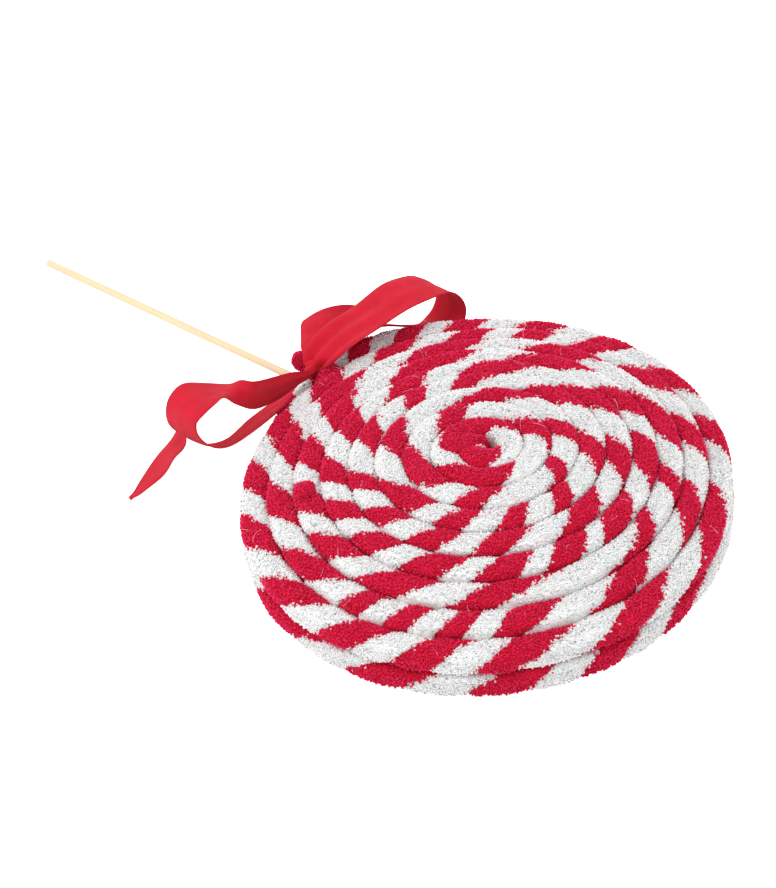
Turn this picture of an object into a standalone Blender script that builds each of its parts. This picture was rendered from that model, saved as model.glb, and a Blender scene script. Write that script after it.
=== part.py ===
"""Terry-cloth swirl lollipop: a two-colour twisted rope coiled into a domed disc, on a
dowel, with a ribbon bow tied where the dowel leaves the disc.

The dowel points along -Y, the disc lies shown side up, +Z is up, sizes are in metres.
"""
import bpy
import bmesh
import math
from mathutils import Matrix, Vector

# ---------------------------------------------------------------- driving sizes, metres
SWIRL_R = 0.125             # nominal radius of the coiled disc
TURN_PITCH = 0.1027         # growth per turn, as a share of SWIRL_R
TURN_START = 0.55           # turn number where the rope leaves the centre
TURN_END = 10.25            # turn number where it ends, underneath and beside the dowel
START_OFFSET = -0.0063      # share of SWIRL_R at turn 0
START_AZIMUTH = 135.6       # degrees, where whole turns are counted from
EGG_SIZE = 0.039            # first and second harmonics of the slightly uneven outline
EGG_PHASE = 27.9
OVAL_SIZE = 0.039
OVAL_PHASE = -74.4
ROPE_FILL = 0.96            # rope width as a share of the spacing between turns
BACK_Z = 0.0051             # height of the flat back, where the dowel lies against it
TOP_CENTRE = 0.0410         # height of the rope's top at the middle of the disc
TOP_FALL = 0.0223           # how much lower it is at the nominal radius
SQUARENESS = 2.2            # 2 is an ellipse, more is squarer
BOTTOM_FLAT = 0.16          # share of the rope's height that is pressed flat underneath
# the outermost turn lies on a last turn underneath, which the rope dives down to
LEDGE_Z = 0.0127            # height that the outermost turn lies at
RISE_FROM = 8.29            # turns between which its underside comes up to that
RISE_TO = 8.37
DIVE_FROM = 9.26            # turns between which the rope dives down
DIVE_TO = 9.42
DRAW_IN_LENGTH = 0.20       # turns over which it comes in under the turn above
DRAW_IN_FROM = 9.38
BASE_TOP = 0.0122           # height of the last turn's top
BASE_OUT = 0.0005           # how far it stands out beyond the turn above
PINCH_TURN = 9.35           # where the bow pinches the rope, and how far and how much
PINCH_LENGTH = 0.04
PINCH_SHARE = 0.35
PINCH_IN = 0.0022
# lays of the twist in each eighth of each turn, loose at the middle, tight at the rim
LAYS = (
    (0.2, 0.2, 0.2, 0.2, 0.5, 0.2, 0.4, 0.3),
    (0.6, 0.3, 0.7, 0.5, 0.4, 1.0, 0.5, 1.1),
    (0.8, 0.6, 0.4, 0.8, 0.7, 1.5, 1.6, 1.0),
    (0.8, 0.9, 1.6, 1.1, 1.7, 1.7, 1.1, 1.2),
    (1.0, 0.9, 1.3, 1.5, 2.1, 1.8, 2.1, 1.2),
    (1.4, 1.1, 1.0, 1.9, 1.9, 1.6, 0.7, 2.0),
    (0.8, 1.2, 1.2, 1.8, 1.6, 3.5, 1.5, 1.4),
    (1.6, 2.7, 2.1, 2.2, 2.0, 2.5, 1.6, 1.2),
    (1.9, 2.4, 3.7, 1.3, 1.1, 1.7, 2.2, 0.7),
    (2.0, 2.3),
)
START_TWIST = -0.50         # lays of twist at turn 1
# share of the section that the red strand fills in each quarter turn, 1 for half of it
RED_FULLNESS = (
    (1.1, 1.3, 1.2, 0.95),
    (0.9, 1.0, 1.0, 0.7),
    (0.85, 1.0, 1.0, 0.8),
    (1.0, 0.85, 1.0, 1.0),
    (1.0, 1.0, 1.1, 1.25),
    (1.1, 1.2, 1.1, 0.7),
    (1.0, 1.15, 1.0, 0.9),
    (1.0, 1.15, 1.0, 1.0),
    (1.0, 1.0, 1.0, 1.0),
    (1.0, 1.0, 1.0, 1.0),
)
RINGS_PER_LAY = 5
MOST_RING_STEP = 0.04       # turns, most between two rings where the twist is loose
STRAND_SHARES = (-0.93, -0.32, 0.32, 0.93)
STRAND_SWELL = (0.90, 1.0, 1.0, 0.90)
CORE_SHARE = 0.24           # how far the flat sides stay clear of the rope's middle

DOWEL_R = 0.0020
DOWEL_LENGTH = 0.300
DOWEL_TIP_Y = -0.333
DOWEL_X = -0.0213
DOWEL_Z = 0.0028

RIBBON_T = 0.0005           # ribbon thickness
RIBBON_STEPS = 2            # rings between two control widths

KNOB_RADII = (0.0040, 0.0058, 0.0182)
KNOB_AZIMUTH = 240.0
KNOB_OUT = 0.0046
STRAND_END_R = 0.0048
STRAND_END_Z = 0.0335

RED_TERRY = (0.62, 0.012, 0.045, 1.0)
WHITE_TERRY = (0.86, 0.85, 0.86, 1.0)
RED_RIBBON = (0.56, 0.022, 0.030, 1.0)
WOOD = (0.86, 0.74, 0.50, 1.0)


# ---------------------------------------------------------------- scene and materials
for old in list(bpy.data.objects):
    bpy.data.objects.remove(old, do_unlink=True)

home = bpy.data.collections.new("terry_swirl_lollipop")
bpy.context.scene.collection.children.link(home)


def material(name, colour, roughness):
    """One plain material."""
    made = bpy.data.materials.new(name)
    made.use_nodes = True
    shader = made.node_tree.nodes["Principled BSDF"]
    shader.inputs["Base Color"].default_value = colour
    shader.inputs["Roughness"].default_value = roughness
    shader.inputs["Metallic"].default_value = 0.0
    made.diffuse_color = colour
    return made


red_terry = material("red_terry", RED_TERRY, 0.95)
white_terry = material("white_terry", WHITE_TERRY, 0.95)
red_ribbon = material("red_ribbon", RED_RIBBON, 0.80)
wood = material("wood", WOOD, 0.65)


def finish(mesh, name, mat):
    """Turn a bmesh into a closed, outward-facing object of the part."""
    bmesh.ops.recalc_face_normals(mesh, faces=mesh.faces)
    data = bpy.data.meshes.new(name)
    mesh.to_mesh(data)
    mesh.free()
    made = bpy.data.objects.new(name, data)
    home.objects.link(made)
    data.materials.append(mat)
    return made


def smooth(value):
    """Ease from 0 to 1."""
    held = min(1.0, max(0.0, value))
    return held * held * (3.0 - 2.0 * held)


# ---------------------------------------------------------------- the coiled rope
def spiral_radius(turn):
    """Distance of the plain spiral from the centre."""
    azimuth = 2.0 * math.pi * turn + math.radians(START_AZIMUTH)
    share = START_OFFSET + TURN_PITCH * turn
    uneven = EGG_SIZE * math.cos(azimuth + math.radians(EGG_PHASE))
    uneven += OVAL_SIZE * math.cos(2.0 * azimuth + math.radians(OVAL_PHASE))
    return SWIRL_R * share * (1.0 + share * uneven), share * uneven


def rope_place(turn):
    """Azimuth, radius, half width, middle height, half height and underside at a turn."""
    azimuth = 2.0 * math.pi * turn + math.radians(START_AZIMUTH)
    share = START_OFFSET + TURN_PITCH * turn
    above, swell = spiral_radius(turn)
    below = spiral_radius(turn - 1.0)[0] + BASE_OUT
    drawn_in = smooth((turn - DRAW_IN_FROM) / DRAW_IN_LENGTH)
    pinched = math.exp(-((turn - PINCH_TURN) / PINCH_LENGTH) ** 2)
    radius = above + (below - above) * drawn_in - PINCH_IN * pinched
    half_width = 0.5 * ROPE_FILL * SWIRL_R * TURN_PITCH * (1.0 + 2.0 * swell)
    half_width *= 1.0 - PINCH_SHARE * pinched
    sunk = smooth((turn - DIVE_FROM) / (DIVE_TO - DIVE_FROM))
    dome = TOP_CENTRE - TOP_FALL * share * share
    top = dome + (BASE_TOP - dome) * sunk
    raised = smooth((turn - RISE_FROM) / (RISE_TO - RISE_FROM))
    back = (BACK_Z + (LEDGE_Z - BACK_Z) * raised) * (1.0 - sunk)
    under = back - BOTTOM_FLAT * (top - back)
    return azimuth, radius, half_width, 0.5 * (top + under), 0.5 * (top - under), back


def rope_rings():
    """Turn number and twist, in lays, of every ring of the rope."""
    rings = []
    step = 1.0 / 720.0
    turn = TURN_START
    twist = START_TWIST - (1.0 - TURN_START) * 8.0 * LAYS[0][0]
    wanted = twist
    last = turn - MOST_RING_STEP
    while turn <= TURN_END:
        if twist >= wanted or turn - last >= MOST_RING_STEP:
            rings.append((turn, twist))
            wanted = twist + 1.0 / RINGS_PER_LAY
            last = turn
        row = min(max(0, int(turn) - 1), len(LAYS) - 1)
        eighth = int((turn - int(turn)) * 8.0) if turn >= 1.0 else 0
        twist += LAYS[row][min(eighth, len(LAYS[row]) - 1)] * 8.0 * step
        turn += step
    return rings


def red_half(turn):
    """Half of the section's turn that the red strand fills, in radians."""
    shares = [share for row in RED_FULLNESS for share in row]
    place = min(max((turn - 1.125) * 4.0, 0.0), len(shares) - 1.001)
    low = int(place)
    return 0.5 * math.pi * (shares[low] + (shares[low + 1] - shares[low]) * (place - low))


def strand(name, phase, mat):
    """One of the two strands: its part of the rope's section, turning about the middle."""
    mesh = bmesh.new()
    sections = []
    for turn, twist in rope_rings():
        azimuth, radius, half_width, height, half_height, back = rope_place(turn)
        out = Vector((math.cos(azimuth), math.sin(azimuth), 0.0))
        middle = phase - 2.0 * math.pi * twist
        half = red_half(turn) if phase == 0.0 else math.pi - red_half(turn)
        places = [(middle + share * half, swell)
                  for share, swell in zip(STRAND_SHARES, STRAND_SWELL)]
        places.append((middle, CORE_SHARE))
        ring = []
        for turned, swell in places:
            side = math.sin(turned)
            lift = math.cos(turned)
            bulk = abs(side) ** SQUARENESS + abs(lift) ** SQUARENESS
            reach = swell * bulk ** (-1.0 / SQUARENESS)
            point = out * (radius + half_width * reach * side)
            point.z = max(back, height + half_height * reach * lift)
            ring.append(mesh.verts.new(point))
        sections.append(ring)
    for low, high in zip(sections[:-1], sections[1:]):
        for k in range(3):
            mesh.faces.new((low[k], low[k + 1], high[k + 1]))
            mesh.faces.new((low[k], high[k + 1], high[k]))
        mesh.faces.new((low[3], low[4], high[4]))
        mesh.faces.new((low[3], high[4], high[3]))
        mesh.faces.new((low[0], high[0], high[4]))
        mesh.faces.new((low[0], high[4], low[4]))
    mesh.faces.new(sections[0])
    mesh.faces.new(list(reversed(sections[-1])))
    return finish(mesh, name, mat)


strand("strand_red", 0.0, red_terry)
strand("strand_white", math.pi, white_terry)


def lump(name, radii, centre, turn_deg, tilt_deg, mat, rings=8, around=14):
    """A rounded soft lump: a stretched ball, turned and tilted in place."""
    mesh = bmesh.new()
    bmesh.ops.create_uvsphere(mesh, u_segments=around, v_segments=rings, radius=1.0)
    bmesh.ops.scale(mesh, vec=Vector(radii), verts=mesh.verts)
    turned = Matrix.Rotation(math.radians(turn_deg), 4, "Z")
    tilted = Matrix.Rotation(math.radians(tilt_deg), 4, "Y")
    bmesh.ops.transform(
        mesh, matrix=Matrix.Translation(Vector(centre)) @ turned @ tilted, verts=mesh.verts)
    return finish(mesh, name, mat)


knob_turn = math.radians(KNOB_AZIMUTH)
lump("centre_knob", KNOB_RADII,
     (KNOB_OUT * math.cos(knob_turn), KNOB_OUT * math.sin(knob_turn),
      BACK_Z + KNOB_RADII[2]), KNOB_AZIMUTH, 0.0, red_terry)
# the cut end of a strand tucked in on top, between two turns
lump("strand_end", (STRAND_END_R, STRAND_END_R, 0.0017), (0.0622, -0.0570, STRAND_END_Z),
     -42.5, 14.0, red_terry, rings=6, around=12)


# ---------------------------------------------------------------- the dowel
mesh = bmesh.new()
bmesh.ops.create_cone(mesh, cap_ends=True, segments=20, radius1=DOWEL_R, radius2=DOWEL_R,
                      depth=DOWEL_LENGTH)
rims = [edge for edge in mesh.edges if any(len(face.verts) > 4 for face in edge.link_faces)]
bmesh.ops.bevel(mesh, geom=rims, offset=0.0003, segments=1, affect="EDGES")
bmesh.ops.transform(
    mesh,
    matrix=Matrix.Translation((DOWEL_X, DOWEL_TIP_Y + DOWEL_LENGTH / 2.0, DOWEL_Z))
    @ Matrix.Rotation(math.pi / 2.0, 4, "X"),
    verts=mesh.verts)
finish(mesh, "dowel", wood)


# ---------------------------------------------------------------- the ribbon bow
def between(keys, where):
    """A smooth curve through the keys, at a position counted in keys."""
    low = min(int(where), len(keys) - 2)
    part = where - low
    p1 = Vector(keys[low])
    p2 = Vector(keys[low + 1])
    p0 = Vector(keys[low - 1]) if low > 0 else p1 * 2.0 - p2
    p3 = Vector(keys[low + 2]) if low + 2 < len(keys) else p2 * 2.0 - p1
    return 0.5 * (2.0 * p1 + (p2 - p0) * part + (2.0 * p0 - 5.0 * p1 + 4.0 * p2 - p3) * part ** 2
                  + (3.0 * p1 - p0 - 3.0 * p2 + p3) * part ** 3)


def ribbon(name, edges, steps=RIBBON_STEPS):
    """A strip of ribbon between two edges, given as matching places in millimetres."""
    near = [pair[0] for pair in edges]
    far = [pair[1] for pair in edges]
    count = (len(edges) - 1) * steps
    rows = []
    for index in range(count + 1):
        where = index / steps
        rows.append((between(near, where) / 1000.0, between(far, where) / 1000.0))
    mesh = bmesh.new()
    rings = []
    for index, (one, two) in enumerate(rows):
        before = rows[max(0, index - 1)]
        after = rows[min(count, index + 1)]
        along = (after[0] + after[1]) - (before[0] + before[1])
        across = along.cross(two - one).normalized() * (RIBBON_T / 2.0)
        rings.append([mesh.verts.new(place)
                      for place in (one + across, two + across, two - across, one - across)])
    for low, high in zip(rings[:-1], rings[1:]):
        for k in range(4):
            after = (k + 1) % 4
            mesh.faces.new((low[k], low[after], high[after], high[k]))
    mesh.faces.new(rings[0])
    mesh.faces.new(list(reversed(rings[-1])))
    return finish(mesh, name, red_ribbon)


# each pair: the edge nearer the disc's middle, then the other edge
ribbon("bow_loop_right", (
    ((-14, -110, 30), (-21, -126, 26)),
    ((-19, -109, 32), (-28, -132, 27)),
    ((-31, -107, 34), (-39, -131, 32)),
    ((-49, -105, 35), (-52, -130, 34)),
    ((-66, -103, 36), (-71, -127, 38)),
    ((-79, -101, 35), (-85, -125, 36)),
    ((-93, -100, 31), (-95, -125, 31)),
    ((-101, -100, 23), (-104, -125, 21)),
    ((-104, -100, 15), (-108, -124, 13)),
    ((-102, -100, 9), (-105, -124, 6)),
    ((-97, -101, 8), (-100, -125, 2)),
    ((-86, -105, 13), (-93, -125, 1.5)),
    ((-76, -110, 16), (-85, -129, 4)),
    ((-59, -118, 23), (-72, -133, 10)),
    ((-44, -121, 22), (-58, -136, 9)),
    ((-35, -124, 19), (-45, -136, 8)),
    ((-29, -126, 16), (-35, -133, 10)),
))
ribbon("bow_loop_left", (
    ((-7, -122, 20), (-1, -117, 28)),
    ((1, -124, 18), (3, -118, 33)),
    ((12, -125, 18), (16, -118, 38)),
    ((26, -125, 22), (30, -117, 45)),
    ((37, -124, 32), (30, -126, 42)),
    ((46, -122, 43), (29, -137, 34)),
    ((53, -121, 44), (39, -141, 39)),
    ((61, -120, 44), (52, -143, 46)),
    ((66, -120, 43), (60, -144, 44)),
    ((67, -121, 40), (63, -146, 36)),
    ((66, -122, 34), (63, -146, 27)),
    ((61, -124, 25), (56, -147, 16)),
    ((54, -126, 16), (45, -145, 4)),
    ((46, -124, 13), (33, -141, 1)),
    ((32, -122, 14), (18, -140, 4)),
    ((17, -121, 15), (5, -137, 7)),
    ((2, -122, 15), (-6, -133, 9)),
    ((-6, -123, 14), (-9, -130, 10)),
))
ribbon("ribbon_tail_front", (
    ((-9, -132, 5), (-12, -137, 2)),
    ((-3, -139, 5.5), (-10, -147, 1.5)),
    ((8, -147, 10), (-5, -159, 1)),
    ((17, -156, 14), (3, -169, 1)),
    ((30, -160, 16), (16, -174, 1)),
    ((43, -158, 12), (32, -172, 1)),
    ((53, -149, 7), (47, -165, 1)),
    ((67, -142, 10), (60, -161, 1)),
    ((76, -140, 8), (71, -157, 1)),
    ((85, -142, 5), (82, -153, 1)),
    ((91, -144, 3), (89, -150, 1)),
    ((94, -147, 1.5), (93, -149, 1)),
))
ribbon("ribbon_tail_back", (
    ((-38, -141, 11), (-29.5, -140, 13)),
    ((-43, -142, 12), (-30, -147, 14)),
    ((-53, -143, 12), (-36, -153, 15)),
    ((-64, -147, 12), (-45, -161, 16)),
    ((-77, -152, 12), (-50, -162, 16)),
))
lump("bow_knot", (0.0072, 0.0056, 0.0072), (-0.0175, -0.1250, 0.0190), 0.0, 0.0,
     red_ribbon, rings=8, around=14)
lump("rope_end", (0.0050, 0.0065, 0.0045), (-0.0215, -0.1400, 0.0115), 0.0, 0.0,
     red_terry, rings=6, around=12)


# ---------------------------------------------------------------- origin under the middle
low = [1.0, 1.0, 1.0]
high = [-1.0, -1.0, -1.0]
for made in home.objects:
    for vertex in made.data.vertices:
        for axis in range(3):
            low[axis] = min(low[axis], vertex.co[axis])
            high[axis] = max(high[axis], vertex.co[axis])
shift = Matrix.Translation((-(low[0] + high[0]) / 2.0, -(low[1] + high[1]) / 2.0, -low[2]))
for made in home.objects:
    made.data.transform(shift)
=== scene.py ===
import logging
import math
from dataclasses import dataclass
from enum import Enum

import bmesh
import bpy
import numpy as np
from mathutils import Matrix, Vector


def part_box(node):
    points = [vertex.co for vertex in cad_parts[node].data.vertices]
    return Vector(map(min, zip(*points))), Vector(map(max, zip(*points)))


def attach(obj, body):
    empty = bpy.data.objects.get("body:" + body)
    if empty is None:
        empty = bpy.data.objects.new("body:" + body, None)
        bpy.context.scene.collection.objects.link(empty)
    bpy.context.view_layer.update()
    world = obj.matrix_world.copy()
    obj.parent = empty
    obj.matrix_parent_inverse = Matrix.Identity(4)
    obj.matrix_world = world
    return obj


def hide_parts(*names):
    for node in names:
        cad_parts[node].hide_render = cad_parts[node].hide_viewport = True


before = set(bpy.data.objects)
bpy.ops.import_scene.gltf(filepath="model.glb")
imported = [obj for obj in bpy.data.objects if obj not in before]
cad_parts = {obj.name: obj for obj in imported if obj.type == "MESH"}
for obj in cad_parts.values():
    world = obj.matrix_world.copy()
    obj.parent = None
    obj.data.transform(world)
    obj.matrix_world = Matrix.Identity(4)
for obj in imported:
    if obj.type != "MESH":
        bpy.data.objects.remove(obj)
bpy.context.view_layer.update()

log = logging.getLogger("terry_swirl_lollipop")
MM = 0.001
ROOT = "root"
FINE_STEPS = 6000           # steps for measuring along the rope
PAINTED_GAP_SHADE_TONE = 0.25           # painted shade: the cloth under the loops, seen only in the gaps between them, gets a darker tone than the loops on average
HAIR_TONE = 0.9             # own tone of loose hairs
SWIRL_SEED = 11
LUMP_SEED = 23


class Slot(Enum):
    """The record's material slots."""

    RED_TERRY = "red_terry"
    WHITE_TERRY = "white_terry"
    RED_RIBBON = "red_ribbon"
    WOOD = "wood"


# ------------------------------------------------------------------ shared node groups
def new_group(name: str, inputs: tuple, outputs: tuple) -> bpy.types.NodeTree:
    """Start a shader node group.

    Args:
        name: the group's name.
        inputs: (name, socket kind, start value) of each input.
        outputs: (name, socket kind) of each output.

    Returns:
        The group's tree, with its input and output nodes named "in" and "out".
    """
    tree = bpy.data.node_groups.new(name, "ShaderNodeTree")
    for label, kind, value in inputs:
        socket = tree.interface.new_socket(label, in_out="INPUT", socket_type=kind)
        if value is not None:
            socket.default_value = value
    for label, kind in outputs:
        tree.interface.new_socket(label, in_out="OUTPUT", socket_type=kind)
    tree.nodes.new("NodeGroupInput").name = "in"
    tree.nodes.new("NodeGroupOutput").name = "out"
    return tree


def math_node(tree: bpy.types.NodeTree, kind: str, first: object, second: object = None,
              third: object = None) -> bpy.types.NodeSocket:
    """Add a Math node.

    Args:
        tree: the tree that gets the node.
        kind: the node's operation.
        first: a socket or a number.
        second: a socket or a number.
        third: a socket or a number.

    Returns:
        The node's output socket.
    """
    node = tree.nodes.new("ShaderNodeMath")
    node.operation = kind
    for index, given in enumerate((first, second, third)):
        if isinstance(given, bpy.types.NodeSocket):
            tree.links.new(given, node.inputs[index])
        elif given is not None:
            node.inputs[index].default_value = given
    return node.outputs[0]


def noise_node(tree: bpy.types.NodeTree, vector: bpy.types.NodeSocket, scale: object,
               detail: float = 2.0) -> bpy.types.NodeSocket:
    """Add a Noise Texture node.

    Args:
        tree: the tree that gets the node.
        vector: where the pattern is read.
        scale: a socket or a number, in cycles a metre.
        detail: how many finer layers it has.

    Returns:
        The noise value's socket.
    """
    node = tree.nodes.new("ShaderNodeTexNoise")
    node.inputs["Detail"].default_value = detail
    tree.links.new(vector, node.inputs["Vector"])
    if isinstance(scale, bpy.types.NodeSocket):
        tree.links.new(scale, node.inputs["Scale"])
    else:
        node.inputs["Scale"].default_value = scale
    return node.outputs["Fac"]


def mix_colours(tree: bpy.types.NodeTree, share: bpy.types.NodeSocket, first: object,
                second: object) -> bpy.types.NodeSocket:
    """Mix two colours.

    Args:
        tree: the tree that gets the node.
        share: how much of the second colour shows.
        first: a colour or a socket.
        second: a colour or a socket.

    Returns:
        The mixed colour's socket.
    """
    node = tree.nodes.new("ShaderNodeMix")
    node.data_type = "RGBA"
    tree.links.new(share, node.inputs["Factor"])
    for socket, given in ((node.inputs[6], first), (node.inputs[7], second)):
        if isinstance(given, bpy.types.NodeSocket):
            tree.links.new(given, socket)
        else:
            socket.default_value = (*given, 1.0)
    return node.outputs[2]


def fibre_mottle_group() -> bpy.types.NodeTree:
    """Build the fibre mottle: soft cloudy tone and fine fuzz relief of cotton.

    Returns:
        The group's tree.
    """
    tree = new_group(
        "fibre_mottle",
        (("Vector", "NodeSocketVector", None), ("Cloud Scale", "NodeSocketFloat", 60.0),
         ("Fuzz Scale", "NodeSocketFloat", 1800.0)),
        (("Tone", "NodeSocketFloat"), ("Fuzz", "NodeSocketFloat")))
    source = tree.nodes["in"]
    cloud = noise_node(tree, source.outputs["Vector"], source.outputs["Cloud Scale"], 3.0)
    fuzz = noise_node(tree, source.outputs["Vector"], source.outputs["Fuzz Scale"], 2.0)
    both = math_node(tree, "MULTIPLY_ADD", fuzz, 0.4, math_node(tree, "MULTIPLY", cloud, 0.6))
    tree.links.new(both, tree.nodes["out"].inputs["Tone"])
    tree.links.new(fuzz, tree.nodes["out"].inputs["Fuzz"])
    return tree


def plain_weave_group() -> bpy.types.NodeTree:
    """Build the plain weave: over-and-under threads along a cloth's own two directions.

    Returns:
        The group's tree.
    """
    tree = new_group(
        "plain_weave",
        (("UV", "NodeSocketVector", None), ("Threads", "NodeSocketFloat", 2400.0)),
        (("Height", "NodeSocketFloat"), ("Gap", "NodeSocketFloat")))
    source = tree.nodes["in"]
    split = tree.nodes.new("ShaderNodeSeparateXYZ")
    tree.links.new(source.outputs["UV"], split.inputs[0])
    waves = []
    for axis in ("X", "Y"):
        scaled = math_node(tree, "MULTIPLY", split.outputs[axis], source.outputs["Threads"])
        turned = math_node(tree, "MULTIPLY", scaled, math.pi)
        waves.append(math_node(tree, "SINE", turned))
    over = math_node(tree, "MULTIPLY", waves[0], waves[1])
    ridge_x = math_node(tree, "ABSOLUTE", waves[0])
    ridge_y = math_node(tree, "ABSOLUTE", waves[1])
    gap = math_node(tree, "MULTIPLY", ridge_x, ridge_y)
    height = math_node(tree, "MULTIPLY_ADD", over, 0.5, gap)
    tree.links.new(height, tree.nodes["out"].inputs["Height"])
    tree.links.new(gap, tree.nodes["out"].inputs["Gap"])
    return tree


class Groups:
    """The shared effects, each built once."""

    def __init__(self) -> None:
        """Build every group."""
        self.mottle = fibre_mottle_group()
        self.weave = plain_weave_group()


# ------------------------------------------------------------------ finishes
def start_material(name: str) -> tuple:
    """Start a node material.

    Args:
        name: the material's name.

    Returns:
        The material, its tree and its Principled BSDF.
    """
    made = bpy.data.materials.new(name)
    made.use_nodes = True
    return made, made.node_tree, made.node_tree.nodes["Principled BSDF"]


def set_shader(shader: bpy.types.Node, **values: object) -> None:
    """Set even values on a shader's own sockets, with _ for a space in their names."""
    for label, value in values.items():
        shader.inputs[label.replace("_", " ")].default_value = value


def place_group(tree: bpy.types.NodeTree, group: bpy.types.NodeTree,
                vector: bpy.types.NodeSocket, **values: float) -> bpy.types.Node:
    """Place a shared group in a material.

    Args:
        tree: the material's tree.
        group: the shared group.
        vector: what feeds the group's first input.
        **values: the group's other inputs, with _ for a space.

    Returns:
        The group's node.
    """
    node = tree.nodes.new("ShaderNodeGroup")
    node.node_tree = group
    tree.links.new(vector, node.inputs[0])
    for label, value in values.items():
        node.inputs[label.replace("_", " ")].default_value = value
    return node


def add_bump(tree: bpy.types.NodeTree, height: bpy.types.NodeSocket, shader: bpy.types.Node,
             strength: float, distance: float) -> None:
    """Feed a height into the shader's normal.

    Args:
        tree: the material's tree.
        height: the height's socket.
        shader: the Principled BSDF.
        strength: how strongly it shows.
        distance: the relief's depth in metres.
    """
    bump = tree.nodes.new("ShaderNodeBump")
    bump.inputs["Strength"].default_value = strength
    bump.inputs["Distance"].default_value = distance
    tree.links.new(height, bump.inputs["Height"])
    tree.links.new(bump.outputs["Normal"], shader.inputs["Normal"])


@dataclass(frozen=True)
class TerryFinish:
    """Looped cotton terry: each loop has its own tone, with fine fuzz over it.

    Attributes:
        name: the material's name.
        deep: colour of the darkest loops.
        light: colour of the palest loops.
        sheen: how much pale fuzz shows at grazing angles.
        sheen_tint: the fuzz's colour.
        softness: share of the light that passes into the cotton, from 0 to 1.
        soft_depth: how deep it passes in, in metres.
        relief: how strongly the fuzz stands out.
        cloud_scale, fuzz_scale: the mottle's cycles a metre.
        loop_share, cloud_share, tone_offset: how a loop's own tone and the mottle add up.
    """

    name: str
    deep: tuple
    light: tuple
    sheen: float
    sheen_tint: tuple
    softness: float = 0.5
    soft_depth: float = 0.0012
    relief: float = 0.5
    cloud_scale: float = 55.0
    fuzz_scale: float = 2600.0
    loop_share: float = 0.62
    cloud_share: float = 0.75
    tone_offset: float = 0.18

    def build(self, groups: Groups) -> bpy.types.Material:
        """Make the material.

        Args:
            groups: the shared effects.

        Returns:
            The material.
        """
        made, tree, shader = start_material(self.name)
        where = tree.nodes.new("ShaderNodeTexCoord").outputs["Object"]
        mottle = place_group(tree, groups.mottle, where, Cloud_Scale=self.cloud_scale,
                             Fuzz_Scale=self.fuzz_scale)
        loop = tree.nodes.new("ShaderNodeAttribute")
        loop.attribute_name = "tone"
        own = math_node(tree, "MULTIPLY", loop.outputs["Fac"], self.loop_share)
        share = math_node(tree, "MULTIPLY_ADD", mottle.outputs["Tone"], self.cloud_share, own)
        share = math_node(tree, "SUBTRACT", share, self.tone_offset)
        colour = mix_colours(tree, share, self.deep, self.light)
        tree.links.new(colour, shader.inputs["Base Color"])
        set_shader(shader, Roughness=0.95, Specular_IOR_Level=0.08,
                   Subsurface_Weight=self.softness, Subsurface_Radius=(1.0, 0.8, 0.8),
                   Subsurface_Scale=self.soft_depth, Sheen_Weight=self.sheen,
                   Sheen_Roughness=0.6, Sheen_Tint=(*self.sheen_tint, 1.0))
        add_bump(tree, mottle.outputs["Fuzz"], shader, self.relief, 0.0003)
        return made


@dataclass(frozen=True)
class RibbonFinish:
    """Matte woven cotton ribbon with a little nap.

    Attributes:
        name: the material's name.
        deep: colour between the threads.
        light: colour of the raised threads.
        threads: threads a metre.
        cloud_scale, fuzz_scale: the mottle's cycles a metre.
        cloud_share, gap_share, tone_offset: how the mottle and the weave's gaps add up.
        least_rough, rough_spread: roughness and how much the fuzz adds to it.
        relief, relief_depth: how strongly and how deep the weave stands out.
    """

    name: str
    deep: tuple
    light: tuple
    threads: float
    cloud_scale: float = 90.0
    fuzz_scale: float = 1500.0
    cloud_share: float = 0.9
    gap_share: float = 0.35
    tone_offset: float = 0.15
    least_rough: float = 0.76
    rough_spread: float = 0.12
    relief: float = 0.5
    relief_depth: float = 0.00015

    def build(self, groups: Groups) -> bpy.types.Material:
        """Make the material.

        Args:
            groups: the shared effects.

        Returns:
            The material.
        """
        made, tree, shader = start_material(self.name)
        coords = tree.nodes.new("ShaderNodeTexCoord")
        mottle = place_group(tree, groups.mottle, coords.outputs["Object"],
                             Cloud_Scale=self.cloud_scale, Fuzz_Scale=self.fuzz_scale)
        weave = place_group(tree, groups.weave, coords.outputs["UV"], Threads=self.threads)
        gaps = math_node(tree, "MULTIPLY", weave.outputs["Gap"], self.gap_share)
        share = math_node(tree, "MULTIPLY_ADD", mottle.outputs["Tone"], self.cloud_share, gaps)
        share = math_node(tree, "SUBTRACT", share, self.tone_offset)
        colour = mix_colours(tree, share, self.deep, self.light)
        tree.links.new(colour, shader.inputs["Base Color"])
        rough = math_node(tree, "MULTIPLY_ADD", mottle.outputs["Fuzz"], self.rough_spread,
                          self.least_rough)
        tree.links.new(rough, shader.inputs["Roughness"])
        set_shader(shader, Specular_IOR_Level=0.12, Sheen_Weight=0.06, Sheen_Roughness=0.5,
                   Sheen_Tint=(1.0, 0.55, 0.55, 1.0))
        height = math_node(tree, "MULTIPLY_ADD", mottle.outputs["Fuzz"], 0.6,
                           weave.outputs["Height"])
        add_bump(tree, height, shader, self.relief, self.relief_depth)
        return made


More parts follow.
